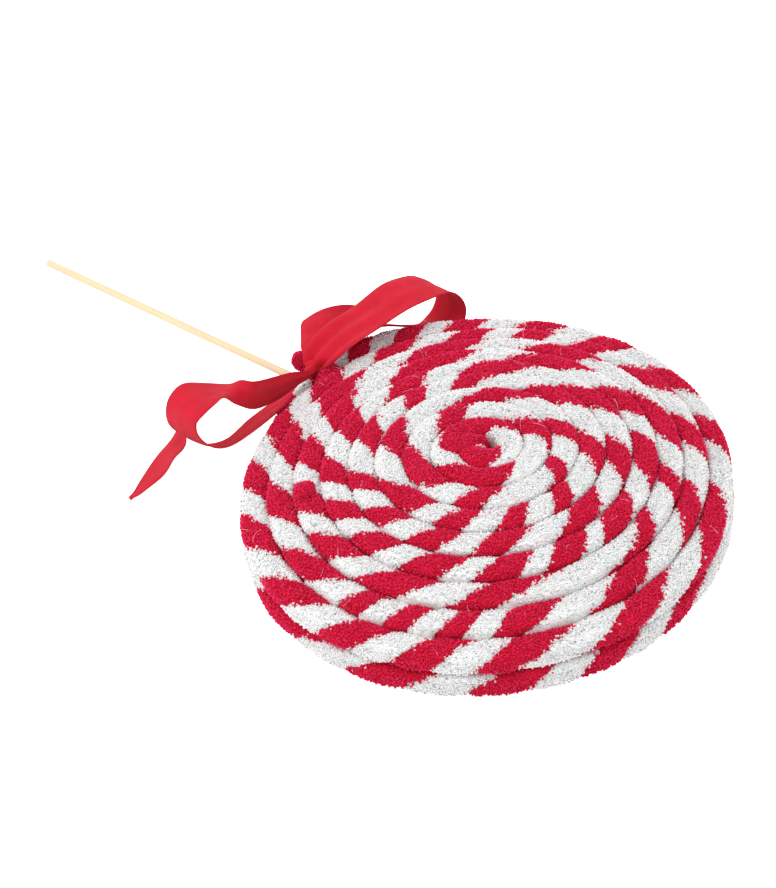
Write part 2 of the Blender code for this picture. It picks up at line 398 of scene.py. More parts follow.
@dataclass(frozen=True)
class WoodFinish:
    """Pale unvarnished bamboo with fine lengthwise grain.

    Attributes:
        name: the material's name.
        deep: colour of the grain lines.
        light: colour between them.
        stretch: how much longer than wide the grain is drawn, as a scale along the stick.
        grain_scale, broad_scale: cycles a metre of the fine and the broad grain.
        grain_share, broad_share, patch_share, tone_offset: how grain and mottle add up.
        least_rough, rough_spread: roughness and how much the grain adds to it.
    """

    name: str
    deep: tuple
    light: tuple
    stretch: float = 0.035
    grain_scale: float = 2200.0
    broad_scale: float = 420.0
    grain_share: float = 0.7
    broad_share: float = 0.5
    patch_share: float = 0.4
    tone_offset: float = 0.35
    least_rough: float = 0.5
    rough_spread: float = 0.2

    def build(self, groups: Groups) -> bpy.types.Material:
        """Make the material.

        Args:
            groups: the shared effects.

        Returns:
            The material.
        """
        made, tree, shader = start_material(self.name)
        coords = tree.nodes.new("ShaderNodeTexCoord")
        drawn = tree.nodes.new("ShaderNodeMapping")
        drawn.inputs["Scale"].default_value = (1.0, self.stretch, 1.0)
        tree.links.new(coords.outputs["Object"], drawn.inputs["Vector"])
        grain = noise_node(tree, drawn.outputs["Vector"], self.grain_scale, 4.0)
        broad = noise_node(tree, drawn.outputs["Vector"], self.broad_scale, 2.0)
        patch = place_group(tree, groups.mottle, coords.outputs["Object"], Cloud_Scale=45.0,
                            Fuzz_Scale=3000.0)
        wide = math_node(tree, "MULTIPLY", broad, self.broad_share)
        share = math_node(tree, "MULTIPLY_ADD", grain, self.grain_share, wide)
        share = math_node(tree, "MULTIPLY_ADD", patch.outputs["Tone"], self.patch_share, share)
        share = math_node(tree, "SUBTRACT", share, self.tone_offset)
        colour = mix_colours(tree, share, self.deep, self.light)
        tree.links.new(colour, shader.inputs["Base Color"])
        rough = math_node(tree, "MULTIPLY_ADD", grain, self.rough_spread, self.least_rough)
        tree.links.new(rough, shader.inputs["Roughness"])
        set_shader(shader, Specular_IOR_Level=0.35)
        add_bump(tree, grain, shader, 0.35, 0.0002)
        return made


@dataclass(frozen=True)
class FloorFinish:
    """White seamless backdrop, lit so that it goes fully white.

    Attributes:
        name: the material's name.
        colour: its colour.
        glow: how much light it gives itself, as a lit table does.
    """

    name: str = "white_sweep"
    colour: tuple = (0.92, 0.92, 0.92)
    glow: float = 1.0

    def build(self) -> bpy.types.Material:
        """Make the material.

        Returns:
            The material.
        """
        made, tree, shader = start_material(self.name)
        where = tree.nodes.new("ShaderNodeTexCoord").outputs["Object"]
        cloud = noise_node(tree, where, 3.0)
        colour = mix_colours(tree, cloud, self.colour, tuple(0.99 * c for c in self.colour))
        tree.links.new(colour, shader.inputs["Base Color"])
        set_shader(shader, Roughness=1.0, Specular_IOR_Level=0.0,
                   Emission_Color=(1.0, 1.0, 1.0, 1.0))
        seen = tree.nodes.new("ShaderNodeLightPath").outputs["Is Camera Ray"]
        tree.links.new(math_node(tree, "MULTIPLY", seen, self.glow),
                       shader.inputs["Emission Strength"])
        return made


# ------------------------------------------------------------------ mesh helpers
def deselect() -> None:
    """Leave nothing selected and nothing in edit mode."""
    if bpy.context.object is not None and bpy.context.object.mode != "OBJECT":
        bpy.ops.object.mode_set(mode="OBJECT")
    bpy.ops.object.select_all(action="DESELECT")


def make_active(made: bpy.types.Object) -> None:
    """Select one object alone and make it active."""
    deselect()
    made.select_set(True)
    bpy.context.view_layer.objects.active = made


def settle(made: bpy.types.Object) -> None:
    """Put an object's place, turn and size into its mesh."""
    make_active(made)
    bpy.ops.object.transform_apply(location=True, rotation=True, scale=True)


def mesh_object(name: str, points: np.ndarray, faces: list) -> bpy.types.Object:
    """Make an object from points and faces.

    Args:
        name: the object's name.
        points: N x 3 places in metres.
        faces: the corner numbers of each face.

    Returns:
        The new object, smooth shaded.
    """
    data = bpy.data.meshes.new(name)
    data.from_pydata(points.tolist(), [], faces)
    data.polygons.foreach_set("use_smooth", [True] * len(data.polygons))
    data.update()
    made = bpy.data.objects.new(name, data)
    bpy.context.scene.collection.objects.link(made)
    return made


def added(name: str) -> bpy.types.Object:
    """Name the primitive that was just added.

    Args:
        name: the piece's name.

    Returns:
        The new object.
    """
    made = bpy.context.object
    made.name = name
    made.data.name = name
    return made


def read_points(made: bpy.types.Object) -> np.ndarray:
    """Read a mesh's points as N x 3 places."""
    places = np.empty(len(made.data.vertices) * 3)
    made.data.vertices.foreach_get("co", places)
    return places.reshape(-1, 3)


def move_points(made: bpy.types.Object, points: np.ndarray) -> None:
    """Move a mesh's points to new places and shade it smooth."""
    made.data.vertices.foreach_set("co", points.ravel())
    made.data.polygons.foreach_set("use_smooth", [True] * len(made.data.polygons))
    made.data.update()


def read_corners(made: bpy.types.Object) -> np.ndarray:
    """Read the point number of each face corner."""
    corners = np.empty(len(made.data.loops), dtype=np.int32)
    made.data.loops.foreach_get("vertex_index", corners)
    return corners


def set_uv(made: bpy.types.Object, uv: np.ndarray) -> None:
    """Lay the mesh's cloth map out, one pair of metres a face corner."""
    made.data.uv_layers.active.data.foreach_set("uv", uv.ravel())


def outward(made: bpy.types.Object) -> None:
    """Turn every face of a closed mesh outwards.

    Args:
        made: the piece.
    """
    work = bmesh.new()
    work.from_mesh(made.data)
    bmesh.ops.recalc_face_normals(work, faces=work.faces)
    work.to_mesh(made.data)
    work.free()


def set_tone(made: bpy.types.Object, values: np.ndarray) -> None:
    """Store each point's own tone."""
    held = made.data.attributes.new("tone", "FLOAT", "POINT")
    held.data.foreach_set("value", values.astype(np.float32))


def dress(made: bpy.types.Object, finish: bpy.types.Material, slot: Slot,
          *nodes: str) -> bpy.types.Object:
    """Give a piece its finish, its body and the CAD solids it stands for.

    Args:
        made: the piece.
        finish: its material.
        slot: the record's slot; not used.
        *nodes: the CAD nodes it replaces.

    Returns:
        The same piece.
    """
    made.data.materials.clear()
    made.data.materials.append(finish)
    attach(made, ROOT)
    if nodes:
        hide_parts(*nodes)
    log.info("%s: %d faces", made.name, len(made.data.polygons))
    return made


def smooth_step(value: np.ndarray) -> np.ndarray:
    """Ease from 0 to 1."""
    held = np.clip(value, 0.0, 1.0)
    return held * held * (3.0 - 2.0 * held)


def running_total(values: np.ndarray, places: np.ndarray) -> np.ndarray:
    """Area under a curve from its first place up to each place."""
    steps = 0.5 * (values[1:] + values[:-1]) * np.diff(places)
    return np.concatenate(([0.0], np.cumsum(steps)))


def box_middle(low: tuple, high: tuple) -> tuple:
    """Middle of a box."""
    return tuple((a + b) / 2.0 for a, b in zip(low, high))


def unit(vectors: np.ndarray) -> np.ndarray:
    """Scale each row to length 1."""
    return vectors / np.maximum(np.linalg.norm(vectors, axis=-1, keepdims=True), 1e-12)


# ------------------------------------------------------------------ the rope's course
@dataclass(frozen=True)
class CoilPath:
    """Where the rope runs: an uneven spiral over a dome, then one more turn under its rim.

    Attributes:
        centre: middle of the swirl on the floor.
        nominal_radius: radius of the disc.
        pitch: growth of one turn as a share of the nominal radius.
        first_turn, last_turn: turn numbers where the rope starts and ends.
        start_offset: share of the nominal radius at turn 0.
        start_azimuth: direction in degrees that whole turns are counted from.
        egg_size, egg_phase: first harmonic of the uneven outline.
        oval_size, oval_phase: second harmonic of the uneven outline.
        rope_fill: rope width as a share of the spacing between turns.
        back_height: height of the flat back.
        top_centre, top_fall: height of the dome's middle and how far it falls to the rim.
        bottom_flat: share of the rope's height that is pressed flat underneath.
        rise_from, rise_to: turns between which the underside comes up to the ledge.
        ledge: height that the outermost turn lies at.
        dive_from, dive_to: turns between which the rope dives to the floor.
        base_top: height of the last turn's top.
        draw_in_from, draw_in_length: where and how quickly the last turn comes in.
        base_out: how far it stands out beyond the turn above.
        bulge_turn, bulge_length, bulge_squeeze, bulge_out: the bulge round the knot.
        upper_half: height of the rope's rounded top above its widest place.
        start_twist: lays of twist at turn 1.
        squareness: 2 is an elliptical section, more is squarer.
        lays: lays of twist in each eighth of each turn from turn 1. These and the start twist
        are not a design: a search fitted them.
        fullness: share of the section that is red in each quarter turn, 1 for half of it. They
        were fitted, then rounded.
    """

    centre: tuple = (-0.0005, 0.1081)
    nominal_radius: float = 0.125
    pitch: float = 0.1027
    first_turn: float = 0.55
    last_turn: float = 10.25
    start_offset: float = -0.0063
    start_azimuth: float = 135.6
    egg_size: float = 0.039
    egg_phase: float = 27.9
    oval_size: float = 0.039
    oval_phase: float = -74.4
    rope_fill: float = 1.08
    back_height: float = 0.0051
    top_centre: float = 0.0410
    top_fall: float = 0.0223
    bottom_flat: float = 0.16
    rise_from: float = 8.29
    rise_to: float = 8.37
    ledge: float = 0.0127
    dive_from: float = 9.30
    dive_to: float = 9.44
    base_top: float = 0.0122
    draw_in_from: float = 9.34
    draw_in_length: float = 0.14
    base_out: float = 0.0005
    bulge_turn: float = 9.31
    bulge_length: float = 0.055
    bulge_squeeze: float = 0.08
    bulge_out: float = 0.0050
    upper_half: float = 0.0047
    start_twist: float = -0.50
    squareness: float = 3.1
    lays: tuple = (
        (0.2, 0.2, 0.2, 0.2, 0.5, 0.2, 0.4, 0.3),
        (0.6, 0.3, 0.7, 0.5, 0.4, 1.0, 0.5, 1.1),
        (0.8, 0.6, 0.4, 0.8, 0.7, 1.5, 1.6, 1.0),
        (0.8, 0.9, 1.6, 1.1, 1.7, 1.7, 1.1, 1.2),
        (1.0, 0.9, 1.3, 1.5, 2.1, 1.8, 2.1, 1.2),
        (1.4, 1.1, 1.0, 1.9, 1.9, 1.6, 0.7, 2.0),
        (0.8, 1.2, 1.2, 1.8, 1.6, 3.5, 1.5, 1.4),
        (1.6, 2.7, 2.1, 2.2, 2.0, 2.5, 1.6, 1.2),
        (1.9, 2.4, 3.7, 1.3, 1.1, 1.7, 2.2, 0.7),
        (2.0, 2.3),
    )
    fullness: tuple = (
        (1.1, 1.3, 1.2, 0.95),
        (0.9, 1.0, 1.0, 0.7),
        (0.85, 1.0, 1.0, 0.8),
        (1.0, 0.85, 1.0, 1.0),
        (1.0, 1.0, 1.1, 1.25),
        (1.1, 1.2, 1.1, 0.7),
        (1.0, 1.15, 1.0, 0.9),
        (1.0, 1.15, 1.0, 1.0),
        (1.0, 1.0, 1.0, 1.0),
        (1.0, 1.0, 1.0, 1.0),
    )

    def near(self, across: float, along: float, height: float) -> tuple:
        """A place counted from the middle of the swirl on the floor."""
        return self.centre[0] + across, self.centre[1] + along, height

    def azimuth(self, turn: np.ndarray) -> np.ndarray:
        """Direction from the centre at a turn, in radians."""
        return 2.0 * np.pi * turn + math.radians(self.start_azimuth)

    def share(self, turn: np.ndarray) -> np.ndarray:
        """Distance from the centre as a share of the nominal radius."""
        return self.start_offset + self.pitch * turn

    def run(self, turn: np.ndarray) -> np.ndarray:
        """Rough distance along the rope in metres."""
        return self.nominal_radius * np.pi * self.pitch * turn ** 2

    def uneven(self, turn: np.ndarray) -> np.ndarray:
        """How far the outline swells at a turn."""
        round_it = self.azimuth(turn)
        egg = self.egg_size * np.cos(round_it + math.radians(self.egg_phase))
        return egg + self.oval_size * np.cos(2.0 * round_it + math.radians(self.oval_phase))

    def spiral(self, turn: np.ndarray) -> np.ndarray:
        """Distance of the plain spiral from the centre."""
        share = self.share(turn)
        return self.nominal_radius * share * (1.0 + share * self.uneven(turn))

    def sunk(self, turn: np.ndarray) -> np.ndarray:
        """How far the rope has dived to the turn underneath, from 0 to 1."""
        return smooth_step((turn - self.dive_from) / (self.dive_to - self.dive_from))

    def bulged(self, turn: np.ndarray) -> np.ndarray:
        """How strongly the rope bulges out round the knot, from 0 to 1."""
        return np.exp(-((turn - self.bulge_turn) / self.bulge_length) ** 2)

    def radius(self, turn: np.ndarray) -> np.ndarray:
        """Distance of the rope's middle from the centre.

        Args:
            turn: turn numbers.

        Returns:
            The distances in metres.
        """
        under = smooth_step((turn - self.draw_in_from) / self.draw_in_length)
        above = self.spiral(turn)
        below = self.spiral(turn - 1.0) + self.base_out
        return above + (below - above) * under + self.bulge_out * self.bulged(turn)

    def half_width(self, turn: np.ndarray) -> np.ndarray:
        """Half the rope's width."""
        spread = 1.0 + 2.0 * self.share(turn) * self.uneven(turn)
        plain = 0.5 * self.rope_fill * self.nominal_radius * self.pitch * spread
        return plain * (1.0 - self.bulge_squeeze * self.bulged(turn))

    def top(self, turn: np.ndarray) -> np.ndarray:
        """Height of the rope's top."""
        dome = self.top_centre - self.top_fall * self.share(turn) ** 2
        return dome + (self.base_top - dome) * self.sunk(turn)

    def back(self, turn: np.ndarray) -> np.ndarray:
        """Height of the rope's flattened underside."""
        raised = smooth_step((turn - self.rise_from) / (self.rise_to - self.rise_from))
        above = self.back_height + (self.ledge - self.back_height) * raised
        return above * (1.0 - self.sunk(turn))

    def twist(self, turn: np.ndarray) -> np.ndarray:
        """Twist of the rope, counted from its start.

        Args:
            turn: turn numbers.

        Returns:
            The twist in lays.
        """
        rates = np.array([lays for row in self.lays for lays in row])
        knots = 1.0 + 0.125 * np.arange(len(rates) + 1)
        totals = self.start_twist + np.concatenate(([0.0], np.cumsum(rates)))
        before = np.minimum(turn - 1.0, 0.0) * 8.0 * rates[0]
        return np.interp(turn, knots, totals) + before

    def red_half(self, turn: np.ndarray) -> np.ndarray:
        """Half of the section's turn that the red strand fills, in radians."""
        shares = np.array(self.fullness).ravel()
        knots = 1.125 + 0.25 * np.arange(len(shares))
        return 0.5 * np.pi * np.interp(turn, knots, shares)

    def stations(self, spacing: float, start: float = None, end: float = None) -> np.ndarray:
        """Turn numbers spaced evenly along the rope.

        Args:
            spacing: distance between stations in metres.
            start: first turn number.
            end: last turn number.

        Returns:
            The turn numbers.
        """
        start = self.first_turn if start is None else start
        end = self.last_turn if end is None else end
        fine = np.linspace(start, end, FINE_STEPS)
        run = running_total(2.0 * np.pi * self.radius(fine), fine)
        count = max(2, int(run[-1] / spacing))
        return np.interp(np.linspace(0.0, run[-1], count), run, fine)

    def surface(self, turn: np.ndarray, angle: np.ndarray, swell: np.ndarray,
                inset: float = 0.0) -> tuple:
        """Points on the rope's section.

        Args:
            turn: turn numbers.
            angle: place round the section, 0 on top, positive outwards.
            swell: how far the surface stands out, 1 on the full section.
            inset: distance taken off all round.

        Returns:
            The points, and the directions straight out of the surface.
        """
        round_it = self.azimuth(turn)
        width = self.half_width(turn) - inset
        middle = self.top(turn) - self.upper_half
        back = self.back(turn) + 0.5 * inset
        flat = self.bottom_flat * (self.top(turn) - self.back(turn))
        lower = middle - (self.back(turn) - flat)
        sine = np.sin(angle)
        cosine = np.cos(angle)
        power = self.squareness
        bulk = np.abs(sine) ** power + np.abs(cosine) ** power
        reach = swell * bulk ** (-1.0 / power)
        tall = np.where(cosine > 0.0, self.upper_half, lower) - inset
        height = np.maximum(back, middle + tall * reach * cosine)
        distance = self.radius(turn) + width * reach * sine
        points = np.stack((self.centre[0] + distance * np.cos(round_it),
                           self.centre[1] + distance * np.sin(round_it), height), axis=-1)
        out = np.sign(sine) * np.abs(sine) ** (power - 1.0) / width
        lift = np.sign(cosine) * np.abs(cosine) ** (power - 1.0) / tall
        pressed = height <= back + 1e-6
        out = np.where(pressed, 0.0, out)
        lift = np.where(pressed, -1.0, lift)
        normals = np.stack((out * np.cos(round_it), out * np.sin(round_it), lift), axis=-1)
        return points, unit(normals)


# ------------------------------------------------------------------ terry pile
@dataclass(frozen=True)
class LoopModel:
    """One terry loop, modelled once as a small closed bent bud.

    Attributes:
        foot: radius where it leaves the cloth.
        belly: radius at its fullest.
        belly_height: height of its fullest place.
        height: its whole height.
        bend: how far its tip leans over.
    """

    foot: float = 0.00048
    belly: float = 0.00063
    belly_height: float = 0.00080
    height: float = 0.00135
    bend: float = 0.00030

    def model(self) -> tuple:
        """Model the loop.

        Returns:
            Its points, and its faces as lists of corner numbers.
        """
        deselect()
        bpy.ops.mesh.primitive_cone_add(vertices=3, radius1=self.foot, radius2=self.belly,
                                        depth=self.belly_height, end_fill_type="NGON",
                                        location=(0.0, 0.0, self.belly_height / 2.0))
        made = bpy.context.object
        settle(made)
        bpy.ops.object.mode_set(mode="EDIT")
        bpy.ops.mesh.select_mode(type="FACE")
        work = bmesh.from_edit_mesh(made.data)
        for face in work.faces:
            face.select_set(face.normal.z > 0.9)
        bmesh.update_edit_mesh(made.data)
        rise = self.height - self.belly_height
        bpy.ops.mesh.extrude_region_move(
            TRANSFORM_OT_translate={"value": (self.bend, 0.0, rise)})
        bpy.ops.mesh.merge(type="COLLAPSE")
        bpy.ops.object.mode_set(mode="OBJECT")
        points = np.array([corner.co[:] for corner in made.data.vertices])
        faces = [list(face.vertices) for face in made.data.polygons]
        bpy.data.objects.remove(made, do_unlink=True)
        return points, faces


class Pile:
    """Copies of the loop, gathered into one joined mesh a piece.

    Attributes:
        LEAN: how far the loops lean at random, as a slope.
        SIZES: sizes of the smallest and the largest loop.
    """

    LEAN = 0.336
    SIZES = (0.78, 1.22)

    def __init__(self, model: LoopModel, seed: int) -> None:
        """Model the loop and start the random order.

        Args:
            model: the loop's sizes.
            seed: start of the random order.
        """
        self.points, self.faces = model.model()
        self.random = np.random.default_rng(seed)

    def plant(self, name: str, roots: np.ndarray, normals: np.ndarray,
              size: float = 1.0) -> bpy.types.Object:
        """Plant a loop at every root.

        Args:
            name: the piece's name.
            roots: where the loops leave the cloth.
            normals: straight out of the cloth at each root.
            size: size of the loops, 1 as modelled.

        Returns:
            The joined mesh.
        """
        count = len(roots)
        tip = unit(normals + self.random.normal(0.0, self.LEAN, (count, 3)))
        guide = unit(self.random.normal(0.0, 1.0, (count, 3)))
        side = unit(np.cross(tip, guide))
        other = np.cross(tip, side)
        frames = np.stack((side, other, tip), axis=1)
        scale = size * self.random.uniform(*self.SIZES, (count, 1, 1))
        places = (self.points[None] * scale) @ frames + roots[:, None, :]
        corners = np.concatenate([np.array(face) for face in self.faces])
        starts = np.cumsum([0] + [len(face) for face in self.faces[:-1]])
        many = len(self.points)
        loops = (corners[None] + many * np.arange(count)[:, None]).ravel()
        begin = (starts[None] + len(corners) * np.arange(count)[:, None]).ravel()
        data = bpy.data.meshes.new(name)
        data.vertices.add(count * many)
        data.vertices.foreach_set("co", places.astype(np.float32).ravel())
        data.loops.add(len(loops))
        data.loops.foreach_set("vertex_index", loops.astype(np.int32))
        data.polygons.add(len(begin))
        data.polygons.foreach_set("loop_start", begin.astype(np.int32))
        data.polygons.foreach_set("use_smooth", np.ones(len(begin), dtype=bool))
        data.update(calc_edges=True)
        data.validate()
        made = bpy.data.objects.new(name, data)
        bpy.context.scene.collection.objects.link(made)
        set_tone(made, np.repeat(self.random.uniform(0.0, 1.0, count), many))
        return made


@dataclass(frozen=True)
class Strip:
    """A strip of the rope's surface that loops are planted on.

    Attributes:
        spacing: distance between loops.
        low, high: section angles that it lies between.
        start, end: turn numbers that it lies between.
        depth: height of the section's lower half there.
        width: half the rope's width.
    """

    spacing: float
    low: float
    high: float
    start: float
    end: float
    depth: float = 0.003
    width: float = 0.0062

    def columns(self, upper_half: float) -> tuple:
        """Space columns of loops evenly round the section.

        Args:
            upper_half: height of the section's upper half.

        Returns:
            The columns' distances round the section, and matching tables of distances and
            section angles.
        """
        fine = np.linspace(self.low, self.high, 400)
        tall = np.where(np.cos(fine) > 0.0, upper_half, self.depth)
        run = running_total(np.hypot(self.width * np.cos(fine), tall * np.sin(fine)), fine)
        count = max(1, int(run[-1] / self.spacing))
        return (np.arange(count) + 0.5) * run[-1] / count, run, fine


@dataclass(frozen=True)
class Band:
    """A part of the pile that makes one piece of each colour.

    Attributes:
        name: the band's name.
        strips: the strips of surface in it.
    """

    name: str
    strips: tuple


@dataclass
class TerrySwirl:
    """The twisted rope of two terry strands, coiled into the disc.

    Attributes:
        path: the rope's course.
        pile_inset: how far the red cloth lies under the full section.
        white_inset: how far the white cloth lies under it, its loops being shorter.
        notch: how deep the seam between the two strands is.
        seam_share: share of a strand's part of the section that its cloth fills.
        core_share: how near the strands' inner edges come to the rope's middle.
        ring_spacing: distance between the cloth's rings.
        around: the cloth's points round a strand.
        loop_spacing: distance between loops on what shows from above.
        back_spacing: distance between loops on the flat back.
        loop_sink: how far the loops' feet lie under the red cloth.
        loop_reach, floor_gap: a loop that would reach under this height is left out.
        stray: how far single loops stray over the seam at random, in radians.
    """

    path: CoilPath
    pile_inset: float = 0.0009
    white_inset: float = 0.00055
    notch: float = 0.12
    seam_share: float = 0.985
    core_share: float = 0.04
    ring_spacing: float = 0.0015
    around: int = 13
    loop_spacing: float = 0.0010
    back_spacing: float = 0.0021
    loop_sink: float = 0.0001
    loop_reach: float = 0.0016
    floor_gap: float = 0.0003
    stray: float = 0.13

    def red_middle(self, turn: np.ndarray) -> np.ndarray:
        """Section angle where the red strand is fullest."""
        return -2.0 * np.pi * self.path.twist(turn)

    def half(self, turn: np.ndarray, phase: float) -> np.ndarray:
        """Half of the section's turn that a strand fills, in radians."""
        red = self.path.red_half(turn)
        return red if phase == 0.0 else np.pi - red

    def swell(self, share: np.ndarray) -> np.ndarray:
        """How full a strand is, from 0 at its middle to 1 at its seam."""
        return 1.0 - self.notch * np.clip(np.abs(share), 0.0, 1.0) ** 2.6

    def unevenness(self, turn: np.ndarray, phase: float) -> np.ndarray:
        """Slow swelling and thinning along a strand."""
        run = self.path.run(turn)
        slow = np.sin(run / 0.0047 + phase) * 0.018
        return 1.0 + slow + 0.022 * np.sin(run / 0.0113 + 2.3 * phase)

    def teeth(self, turn: np.ndarray, angle: np.ndarray) -> np.ndarray:
        """How far tufts reach over the seam, in teeth a few millimetres wide.

        Args:
            turn: turn numbers.
            angle: section angles.

        Returns:
            The reach in radians.
        """
        run = self.path.run(turn)
        drawn = run + 0.0016 * np.sin(3.0 * angle)
        broad = np.sin(drawn / 0.00072 + 2.0 * np.sin(run / 0.0041))
        fine = np.sin(drawn / 0.00037 + 1.7 * np.sin(run / 0.0023) + 1.0)
        slow = np.sin(run / 0.0031 + 1.3 * np.sin(run / 0.0127))
        return 0.20 * broad + 0.12 * fine + 0.10 * slow

    def core(self, name: str, phase: float) -> bpy.types.Object:
        """Make one strand's cloth body.

        Args:
            name: the piece's name.
            phase: 0 for red and pi for white.

        Returns:
            The closed piece.
        """
        turns = self.path.stations(self.ring_spacing)
        inset = self.pile_inset if phase == 0.0 else self.white_inset
        middle = self.red_middle(turns) + phase
        half = self.half(turns, phase)
        rings = []
        for step in np.linspace(-1.0, 1.0, self.around):
            swell = self.swell(np.array(step)) * self.unevenness(turns, phase)
            points, _ = self.path.surface(turns, middle + step * self.seam_share * half,
                                          swell, inset)
            rings.append(points)
        inner, _ = self.path.surface(turns, middle, np.full_like(turns, self.core_share),
                                     inset)
        rings.append(inner)
        grid = np.stack(rings, axis=1)
        rows, cols = grid.shape[:2]
        faces = []
        for row in range(rows - 1):
            for col in range(cols):
                after = (col + 1) % cols
                faces.append((row * cols + col, row * cols + after,
                              (row + 1) * cols + after, (row + 1) * cols + col))
        faces.append(tuple(range(cols)))
        faces.append(tuple((rows - 1) * cols + col for col in reversed(range(cols))))
        made = mesh_object(name, grid.reshape(-1, 3), faces)
        outward(made)
        # painted shade: the strand's cloth body gets a darker tone, seen in the gaps between the
        # loops
        set_tone(made, np.full(rows * cols, PAINTED_GAP_SHADE_TONE))
        return made

    def bands(self) -> tuple:
        """The bands that the pile is gathered in.

        Returns:
            The bands, each with its strips of the rope's surface.
        """
        path = self.path
        top = (-1.38, 1.38)
        return (
            Band("inner_turns", (Strip(self.loop_spacing, *top, path.first_turn, 5.9),)),
            Band("middle_turns", (Strip(self.loop_spacing, *top, 5.9, 7.75),)),
            Band("outer_turns", (Strip(self.loop_spacing, *top, 7.75, path.dive_from),)),
            Band("rim", (
                Strip(self.loop_spacing, 1.38, 2.2, path.rise_from - 0.05, path.dive_from,
                      0.007),
                Strip(self.loop_spacing, -0.9, 2.6, path.dive_from, path.last_turn, 0.009))),
            Band("back", (Strip(self.back_spacing, 2.3, 4.0, path.first_turn,
                                path.last_turn),)),
        )

    def roots(self, random: np.random.Generator, band: Band) -> tuple:
        """Places for loops on a band of the section.

        Args:
            random: the random order.
            band: the band.

        Returns:
            Turn numbers and section angles.
        """
        every_turn = []
        every_angle = []
        for strip in band.strips:
            turns = self.path.stations(strip.spacing, strip.start, strip.end)
            along, run, fine = strip.columns(self.path.upper_half)
            grid_turn = np.repeat(turns[:, None], len(along), axis=1)
            shift = random.uniform(-0.5, 0.5, (len(turns), 1)) * strip.spacing
            jitter = random.normal(0.0, 0.22, grid_turn.shape) * strip.spacing
            angle = np.interp(along[None] + shift + jitter, run, fine)
            slide = random.normal(0.0, 0.13, grid_turn.shape) * strip.spacing
            grid_turn = grid_turn + slide / (2.0 * np.pi * self.path.radius(grid_turn))
            every_turn.append(grid_turn.ravel())
            every_angle.append(angle.ravel())
        return np.concatenate(every_turn), np.concatenate(every_angle)

    def loops(self, name: str, pile: Pile, turn: np.ndarray, angle: np.ndarray,
              phase: float) -> bpy.types.Object:
        """Plant one strand's loops of a band.

        Args:
            name: the piece's name.
            pile: the loops.
            turn: turn numbers.
            angle: section angles.
            phase: 0 for red and pi for white.

        Returns:
            The joined mesh.
        """
        own = np.angle(np.exp(1j * (angle - self.red_middle(turn) - phase)))
        swell = self.swell(own / self.half(turn, phase)) * self.unevenness(turn, phase)
        roots, normals = self.path.surface(turn, angle, swell,
                                           self.pile_inset + self.loop_sink)
        clear = roots[:, 2] + self.loop_reach * normals[:, 2] > self.floor_gap
        return pile.plant(name, roots[clear], normals[clear])

    def build(self, red: bpy.types.Material, white: bpy.types.Material) -> None:
        """Make both strands and their loops.

        Args:
            red: the red terry.
            white: the white terry.
        """
        dress(self.core("red_strand_cloth", 0.0), red, Slot.RED_TERRY, "strand_red")
        dress(self.core("white_strand_cloth", np.pi), white, Slot.WHITE_TERRY, "strand_white")
        pile = Pile(LoopModel(), SWIRL_SEED)
        for band in self.bands():
            turn, angle = self.roots(pile.random, band)
            ragged = pile.random.normal(0.0, self.stray, len(turn)) + self.teeth(turn, angle)
            from_red = np.angle(np.exp(1j * (angle - self.red_middle(turn))))
            is_red = np.abs(from_red) + ragged < self.path.red_half(turn)
            for colour, chosen, finish, slot, node, phase in (
                    ("red", is_red, red, Slot.RED_TERRY, "strand_red", 0.0),
                    ("white", ~is_red, white, Slot.WHITE_TERRY, "strand_white", np.pi)):
                made = self.loops(f"{colour}_loops_{band.name}", pile, turn[chosen],
                                  angle[chosen], phase)
                dress(made, finish, slot, node)


